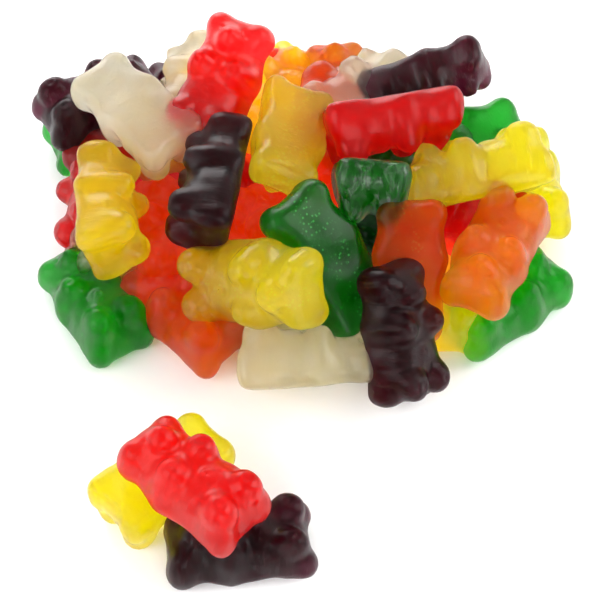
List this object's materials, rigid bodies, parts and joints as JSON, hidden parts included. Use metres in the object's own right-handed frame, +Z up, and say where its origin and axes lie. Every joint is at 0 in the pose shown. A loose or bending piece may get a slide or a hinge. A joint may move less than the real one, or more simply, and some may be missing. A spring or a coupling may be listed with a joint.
{
  "type": "gummy bears",
  "caption": "Low heap of small moulded gummy bears in mixed colours, with three more bears lying together in front of it.",
  "frame": {"origin": "on the surface the sweets lie on, under the middle of the whole group", "axes": "+Z up, +X to the right and +Y away from the viewer, so the three loose bears lie towards -Y"},
  "size_m": [0.082, 0.095, 0.027],
  "materials": {
    "gummy_red": "translucent red gum with a soft satin gloss",
    "gummy_orange": "translucent orange gum with a soft satin gloss",
    "gummy_yellow": "translucent lemon yellow gum with a soft satin gloss",
    "gummy_green": "translucent deep green gum with a soft satin gloss",
    "gummy_clear": "pale translucent gum with a soft satin gloss",
    "gummy_purple": "dark purple gum with a soft satin gloss"
  },
  "bodies": {
    "root": {"bear_heap": "gummy_orange", "bear_yellow": "gummy_yellow", "bear_purple": "gummy_purple", "bear_red": "gummy_red"}
  },
  "joints": []
}
